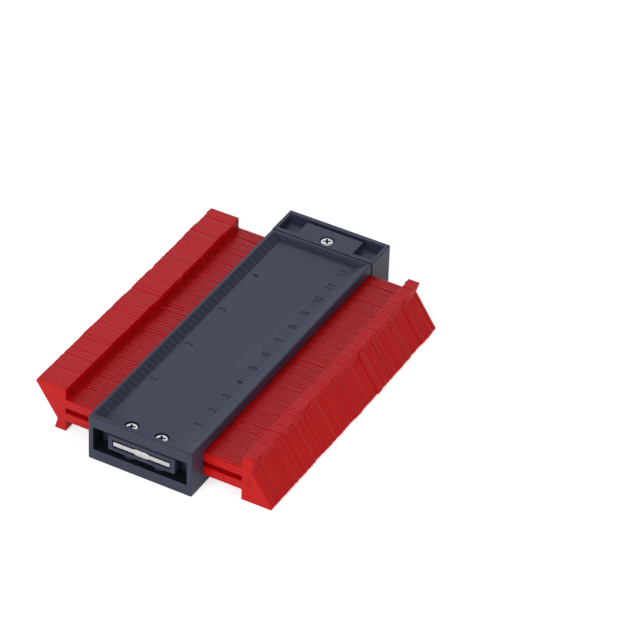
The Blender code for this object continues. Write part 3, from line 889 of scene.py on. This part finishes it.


# Faces inside the front opening, round the screw heads and in the seam get a nearly black painted shade.
# Those under the tray's floor are digits, and they and the left slope get a duller painted shade. The posts
# in the opening keep the plain tone
def shadeBody(mesh, tray, look):
    (x, y, z), normal = faceRows(mesh)
    along, margin, floor = y - bodyLow[1], look["margin"], tray["floor"]
    middle = np.mean(inMillimetres(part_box("front_screw_right")), axis=0)
    bore = np.hypot(np.abs(x) - middle[0], y - middle[1]) < look["bore"]
    digits = between(z, floor - digitLook["depth"] - margin, floor - hair)
    digits &= (np.abs(x) < tray["footReach"]) & (along > look["digitsFrom"])
    digits &= y < bodyHigh[1] - look["digitsTo"]
    inside = between(along, *look["opening"]) & between(z, *look["openingHeight"]) & ~bore
    inside &= np.abs(x) < look["openingReach"]
    ring = bore & between(z, look["boreFrom"], floor - 2 * hair)
    seam = (y > bodyHigh[1] - look["seam"]) & (normal[1] > look["seamTurn"])
    scale = between(x, margin - tray["rimReach"], -tray["footReach"] - 2 * margin)
    scale &= between(z, floor + margin, tray["rim"] - margin)
    scale &= (normal[0] > look["slopeTurn"][0]) & (normal[2] > look["slopeTurn"][1])
    paintFaces(mesh, np.where(inside | ring | seam, 1, np.where(scale | digits, 2, 0)))


def makeBody(tray, look):
    mesh = softShape("body_frame", look["softness"], look["softLimit"])
    mesh = carve(mesh, digitCutter(tray, digitLook))
    giveMaterials(mesh, slatePlastic, slateShade, slateScale)
    shadeBody(mesh, tray, look)
    smoothFaces(mesh, look["smooth"])
    weighNormals(addPiece(mesh, "bodyShell", ["body_frame"]))


makeBody(trayLook, bodyLook)
makeInchMarks(trayLook, inchLook)
print("body shell made")


# Millimetre strip: its profile from foot to rim, and how far each of the profile's points falls at
# a tick and at every tenth one, in tick depths
millimetreLook = {
    "length": 124, "foot": 16.95, "round": 0.20, "roundTurns": (180.0, 165.0, 148.0, 133.0, 119.0),
    "roundRise": 0.02, "topShares": (0.3, 0.85, 1.0), "rimGap": (0.05, 0.02), "rooted": 0.5,
    "backHeight": 0.9, "taper": 0.35, "taperSunk": 0.24, "tickHalf": 0.20, "tenthWider": 1.7,
    "tickDepth": 0.10, "tick": (0, 0, 0, 0, 0, 0, 1, 0.9, 0, 0, 0),
    "tenthTick": (0, 0.5, 1.6, 2.0, 2.0, 1.6, 1.0, 0.5, 0, 0, 0), "smooth": 32,
}


# A closed profile is carried along the slope, with a round at its foot. Its top is lowered at each
# tick by a V, depth times (1 - |distance| / half width), and every tenth one is wider and deeper
# and runs through its foot. Both ends of the strip run out into the slope
def makeMillimetreStrip(tray, look):
    foot, radius, floor = look["foot"], look["round"], tray["floor"]
    angle, share = np.radians(look["roundTurns"]), np.array(look["topShares"])
    roundX = foot + radius + radius * np.cos(angle)
    roundZ = floor + look["roundRise"] + radius * np.sin(angle)
    endX, endZ = tray["rimReach"] - look["rimGap"][0], tray["rim"] - look["rimGap"][1]
    topX = roundX[-1] + (endX - roundX[-1]) * share
    topZ = roundZ[-1] + (endZ - roundZ[-1]) * share
    under = floor - look["rooted"]
    x = np.concatenate(((foot,), roundX, topX, (endX, tray["footReach"] + look["rooted"])))
    z = np.concatenate(((under,), roundZ, topZ, (tray["rim"] - look["backHeight"], under)))
    ticks = np.arange(1, look["length"])
    tenth = ticks % 10 == 0
    half = np.where(tenth, look["tenthWider"], 1.0) * look["tickHalf"]
    along = ticks[:, None] + half[:, None] * np.array((-1, 0, 1))
    fall = np.zeros((len(ticks), 3, len(x)))
    fall[:, 1] = np.where(tenth[:, None], look["tenthTick"], look["tick"]) * np.array(look["tickDepth"])
    taper, end = look["taper"], float(look["length"])
    sunk = np.where((z > floor) & (x < endX - hair), look["taperSunk"], 0.0)[None, :]
    level = np.zeros((1, len(x)))
    along = np.concatenate(((-taper, 0.0), along.ravel(), (end, end + taper)))
    fall = np.concatenate((sunk, level, fall.reshape(-1, len(x)), level, sunk))
    y = (along + tray["zero"] + bodyLow[1])[:, None]
    points = np.stack(np.broadcast_arrays(x, y, z - fall), axis=-1).reshape(-1, 3)
    mesh = closedMesh("millimetreStrip", points, rodFaces(*fall.shape), look["smooth"])
    giveMaterials(mesh, slatePlastic, slateEdge)
    # The faces of the round at the strip's foot are painted pale: a painted highlight
    paintFaces(mesh, faceRows(mesh)[0][0] < roundX[-1] - hair)
    addPiece(mesh, "millimetreStrip")


makeMillimetreStrip(trayLook, millimetreLook)
print("millimetre strip made")


# End cap and magnet holder: the moulded shapes with their sharp edges softened
mouldedLook = {
    "pieces": {"end_cap": ("endCap", 0.30), "magnet_holder": ("magnetHolder", 0.10)}, "smooth": 28,
    "seam": 0.54, "seamTurn": -0.35,
}


# The faces that look into the seam between the body and the cap are in shade
def makeMoulded(look):
    for node, (name, softness) in look["pieces"].items():
        mesh = softShape(node, softness)
        giveMaterials(mesh, slatePlastic, slateShade)
        middles, normals = faceRows(mesh)
        inSeam = between(middles[1], 0, bodyHigh[1] + look["seam"])
        paintFaces(mesh, inSeam & (normals[1] < look["seamTurn"]))
        smoothFaces(mesh, look["smooth"])
        weighNormals(addPiece(mesh, name, [node]))


makeMoulded(mouldedLook)
print("end cap and magnet holder made")


# Steel strip: the CAD bar thickened to the slot that it fills, with its edges softened
stripLook = {"softness": 0.22, "thicken": 0.19, "smooth": 40}


def makeStrip(look):
    mesh = softShape("spine_bar", look["softness"])
    points = np.empty(len(mesh.vertices) * 3)
    mesh.vertices.foreach_get("co", points)
    z = points[2::3]
    z += np.sign(z - z.mean()) * look["thicken"] * mm
    mesh.vertices.foreach_set("co", points)
    giveMaterials(mesh, metals["brightSteel"])
    smoothFaces(mesh, look["smooth"])
    weighNormals(addPiece(mesh, "spineBar", ["spine_bar"]))


makeStrip(stripLook)


# Magnets: an eight-cornered section, thick in the middle and drawn in to the strip's thickness at
# its sides, carried through its depth with a small chamfer at both faces
magnetLook = {
    "shoulder": 0.68, "waist": 0.90, "chamfer": 0.10, "widen": 0.14, "reach": (0.08, 0.5, 0.5, 0.08),
    "cornerSteps": 4, "chamferRings": ((1.0, 0.0), (0.3, 0.3), (0.0, 1.0)), "smooth": 40,
}


def makeMagnet(node, name, look):
    low, high = inMillimetres(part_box(node))
    half = (high - low) / 2
    middle = (low + high) / 2
    wide, tall = half[0] + look["widen"], half[2]
    shoulder, waist = wide * look["shoulder"], look["waist"]
    side = np.array(((-wide, -waist), (-shoulder, -tall), (shoulder, -tall), (wide, -waist)))
    line = roundCorners(np.concatenate((side, -side)), look["reach"] * 2, look["cornerSteps"])
    inset, depth = look["chamfer"] * np.array(look["chamferRings"]).T
    depth = np.concatenate((low[1] + depth, high[1] - depth[::-1]))
    rings = np.stack([insetLine(line, distance) for distance in (*inset, *inset[::-1])])
    y = np.broadcast_to(depth[:, None], rings.shape[:2])
    points = np.stack((rings[..., 0] + middle[0], y, rings[..., 1] + middle[2]), axis=-1)
    mesh = closedMesh(name, points.reshape(-1, 3), rodFaces(*y.shape), look["smooth"])
    giveMaterials(mesh, metals["nickelPlate"])
    addPiece(mesh, name, [node])


makeMagnet("front_magnet", "frontMagnet", magnetLook)
makeMagnet("rear_magnet", "rearMagnet", magnetLook)
print("steel strip and magnets made")


# Screws: a turned head with a cross recess, and a threaded shank under it
screwLook = {
    "dome": 0.30, "rimRound": 0.22, "rimPower": 16, "headHeight": 1.4, "headRadii": (0.02, 0.25, 0.42),
    "armFrom": 0.6, "armRim": 0.12, "domeFrom": 0.3, "edge": 0.25, "edgeFrom": 0.3, "ringSteps": 4,
    "armLength": 1.55, "armHalf": 0.34, "armDepth": 1.0, "armFlat": 0.4, "armRise": 0.45,
    "wallRun": 0.10, "turn": 0.5, "shankRadius": 1.38, "threadDepth": 0.28, "threadPitch": 0.9,
    "threadFrom": 0.3, "threadRows": 40, "point": 1.6, "pointRadius": 0.12, "recessEdge": 0.05,
    "smooth": 40,
}


# Head: on a polar grid whose columns follow the arms of the cross. At radius r an arm's side
# stands at the angle asin(half width / r), so its walls stay straight. The top is
# top - dome (r/R)^2 - rim (r/R)^16, and inside the cross it is lowered by the arm's depth,
# which is full in the middle and falls to nothing at the arm's end
def screwHead(look, radius):
    arm, run, half, steps = look["armLength"], look["wallRun"], look["armHalf"], look["ringSteps"]
    edge, eighth = look["edge"], math.pi / 4
    r = np.concatenate((
        look["headRadii"], np.linspace(look["armFrom"], arm - run, steps), (arm, arm + look["armRim"]),
        np.linspace(arm + look["domeFrom"], radius - edge, steps),
        radius - edge * (1 - np.sin(np.linspace(look["edgeFrom"], math.pi / 2, steps))),
    ))
    inner, outer = (np.arcsin(np.minimum(wide / r, math.sin(eighth))) for wide in (half, half + run))
    flat, between = inner * look["armFlat"], (outer + eighth) / 2
    quarter = np.stack((
        -inner, -flat, flat, inner, outer, between, np.full(len(r), eighth), 2 * eighth - between,
        2 * eighth - outer,
    ), axis=1)
    angle = np.concatenate([quarter + 2 * eighth * turn for turn in range(4)], axis=1) + look["turn"]
    inside = np.tile(np.repeat((1.0, 0.0), (4, 5)), 4)
    depth = look["armDepth"] * np.clip((arm - r) / run, 0, 1) * (1 - look["armRise"] * (r / arm) ** 2)
    top = -look["dome"] * (r / radius) ** 2 - look["rimRound"] * (r / radius) ** look["rimPower"]
    z = top[:, None] - depth[:, None] * inside
    middle = r < half * math.sqrt(2)
    z[middle] = (top - depth)[middle, None]
    r = r[:, None]
    return np.stack((r * np.cos(angle), r * np.sin(angle), z), axis=-1)


# Shank: radius R - depth |2 frac(z / pitch - turn) - 1|, which winds one crest round it, where
# turn is how far round a column is, from 0 to 1. Its columns stand at the head's angles
def screwShank(look, radius, length, angle):
    top, plain = -look["headHeight"], look["shankRadius"]
    thread = np.linspace(top - look["threadFrom"], look["point"] - length, look["threadRows"])
    z = np.concatenate(((top, top), thread, (-length,)))[:, None]
    turn = np.linspace(0, 1, len(angle), endpoint=False)
    wave = np.abs(2 * np.mod(z / look["threadPitch"] - turn, 1) - 1)
    r = plain - look["threadDepth"] * wave
    r[0], r[1], r[-1] = radius, plain, look["pointRadius"]
    return np.stack(np.broadcast_arrays(r * np.cos(angle), r * np.sin(angle), z), axis=-1)


# The recess, which gets the painted shade, is whatever lies clearly under the dome and inside the arms'
# reach
def darkenRecess(mesh, look, top):
    x, y, z = faceRows(mesh)[0] - top[:, None]
    edge = look["recessEdge"]
    sunk = between(z, edge - look["headHeight"], -look["dome"] - 2 * hair)
    paintFaces(mesh, sunk & (np.hypot(x, y) < look["armLength"] + edge))


def makeScrew(node, name, look):
    low, high = inMillimetres(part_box(node))
    radius = (high[0] - low[0]) / 2
    top = np.array((*(low + high)[:2] / 2, high[2]))
    head = screwHead(look, radius)
    angle = np.arctan2(head[-1, :, 1], head[-1, :, 0])
    rows = np.concatenate((head, screwShank(look, radius, high[2] - low[2], angle))) + top
    mesh = closedMesh(name, rows.reshape(-1, 3), rodFaces(*rows.shape[:2]), look["smooth"])
    giveMaterials(mesh, metals["zincPlate"], screwRecess)
    darkenRecess(mesh, look, top)
    addPiece(mesh, name, [node])


for side in ("left", "right"):
    makeScrew("front_screw_" + side, "frontScrew" + side.title(), screwLook)
makeScrew("rear_screw", "rearScrew", screwLook)
print("screws made")


# Felts: a soft-cornered section carried along the groove, its skin drawn in here and there by
# chance, less at its sides than at its faces
feltShape = {
    "rows": 150, "corner": 0.18, "cornerSteps": 4, "fuzz": 0.03, "sideFuzz": 0.3, "smooth": 60,
    "seed": 5,
}


def makeFeltStrip(node, name, look):
    dice = np.random.default_rng(look["seed"])
    low, high = inMillimetres(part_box(node))
    middle, half = (low + high) / 2, (high - low) / 2
    box = ((-half[0], -half[2]), (half[0], -half[2]), (half[0], half[2]), (-half[0], half[2]))
    section = roundCorners(box, (look["corner"],) * 4, look["cornerSteps"])
    drawnIn = look["fuzz"] * dice.random((look["rows"], len(section)))
    x = middle[0] + section[:, 0] * (1 - drawnIn * look["sideFuzz"])
    z = middle[2] + section[:, 1] * (1 - drawnIn)
    y = np.linspace(low[1], high[1], look["rows"])[:, None]
    points = np.stack(np.broadcast_arrays(x, y, z), axis=-1).reshape(-1, 3)
    mesh = closedMesh(name, points, rodFaces(*x.shape), look["smooth"])
    giveMaterials(mesh, greyFelt)
    addPiece(mesh, name, [node])


for feltNode, feltName in (("upper_felt", "upperFelt"), ("lower_felt", "lowerFelt")):
    makeFeltStrip(feltNode, feltName, feltShape)
print("felts made")


# Studio: a white floor that keeps the gauge's shadow, a soft lamp in front and weaker ones at the
# right and the rear left, and a surround that is white to the camera. Glossy faces see it dim, with
# two soft bright patches: one at the rear left, which the flat tops mirror, and one high in front.
# A patch has its direction, the angles of its inner and outer edge, and its colour
studioLook = {
    "floorSize": 3000.0, "floorHeight": -0.05, "floorColour": (0.85, 0.85, 0.85, 1.0),
    "floorLift": 0.55, "floorMirrored": 0.05, "white": (1.0, 1.0, 1.0, 1.0),
    "sky": (0.34, 0.34, 0.34, 1.0), "mirroredSky": (0.20, 0.20, 0.21, 1.0),
    "patches": (
        ((-0.50, 0.73, 0.46), (22.0, 42.0), (0.86, 0.91, 1.10, 1.0)),
        ((0.35, -0.62, 0.70), (28.0, 58.0), (0.76, 0.78, 0.84, 1.0)),
    ),
    "lampSize": 0.9, "lampReach": 1.3,
    "lamps": {
        "frontLamp": ((-0.06, -0.87, 0.48), 11.4), "rightLamp": ((0.93, -0.30, 0.16), 8.0),
        "rearLamp": ((-0.62, 0.50, 0.60), 4.5),
    },
}


def makeFloor(look):
    half = look["floorSize"] / 2
    corners = np.array(((-half, -half), (half, -half), (half, half), (-half, half)))
    points = np.insert(corners, 2, look["floorHeight"], axis=1)
    floor = newObject("floor", meshFrom("floor", points, [np.arange(4)[None, :]]))
    made = bpy.data.materials.new("floorWhite")
    made.use_nodes = True
    tree = made.node_tree
    tree.nodes.clear()
    rays = addNode(tree, "LightPath").outputs
    mirrored = addMaths(tree, "MULTIPLY", rays["Is Glossy Ray"], look["floorMirrored"])
    lift = addMaths(tree, "MULTIPLY_ADD", rays["Is Camera Ray"], look["floorLift"], mirrored)
    matt = addNode(tree, "BsdfDiffuse", {"Color": look["floorColour"]}).outputs[0]
    glow = addNode(tree, "Emission", {"Strength": lift}).outputs[0]
    both = addNode(tree, "AddShader", {0: matt, 1: glow}).outputs[0]
    addNode(tree, "OutputMaterial", {"Surface": both})
    floor.data.materials.append(made)


def makeSky(look):
    world = bpy.data.worlds.new("studio")
    bpy.context.scene.world = world
    world.use_nodes = True
    tree = world.node_tree
    tree.nodes.clear()
    rays = addNode(tree, "LightPath").outputs
    place = addNode(tree, "TexCoord").outputs["Generated"]
    mirrored = look["mirroredSky"]
    for middle, edges, colour in look["patches"]:
        directions = {0: place, 1: unit(np.array(middle))}
        towards = addNode(tree, "VectorMath", directions, operation="DOT_PRODUCT").outputs["Value"]
        inner, outer = np.cos(np.radians(edges)).tolist()
        mirrored = addMix(tree, addRange(tree, towards, outer, inner), mirrored, colour)
    light = addMix(tree, rays["Is Glossy Ray"], look["sky"], mirrored)
    seen = addMix(tree, rays["Is Camera Ray"], light, look["white"])
    back = addNode(tree, "Background", {"Color": seen}).outputs[0]
    addNode(tree, "OutputWorld", {"Surface": back})


def makeLamps(look):
    for name, (place, power) in look["lamps"].items():
        data = bpy.data.lights.new(name, "AREA")
        data.shape = "DISK"
        data.size = look["lampSize"]
        data.energy = power
        lamp = newObject(name, data)
        lamp.visible_glossy = False
        away = unit(np.array(place))
        side = unit(np.cross((0, 0, 1), away))
        standAt(lamp, away * look["lampReach"], (side, np.cross(away, side), away))


makeFloor(studioLook)
makeSky(studioLook)
makeLamps(studioLook)
bpy.context.scene.view_settings.view_transform = "Standard"
print("studio made")


bpy.context.view_layer.update()
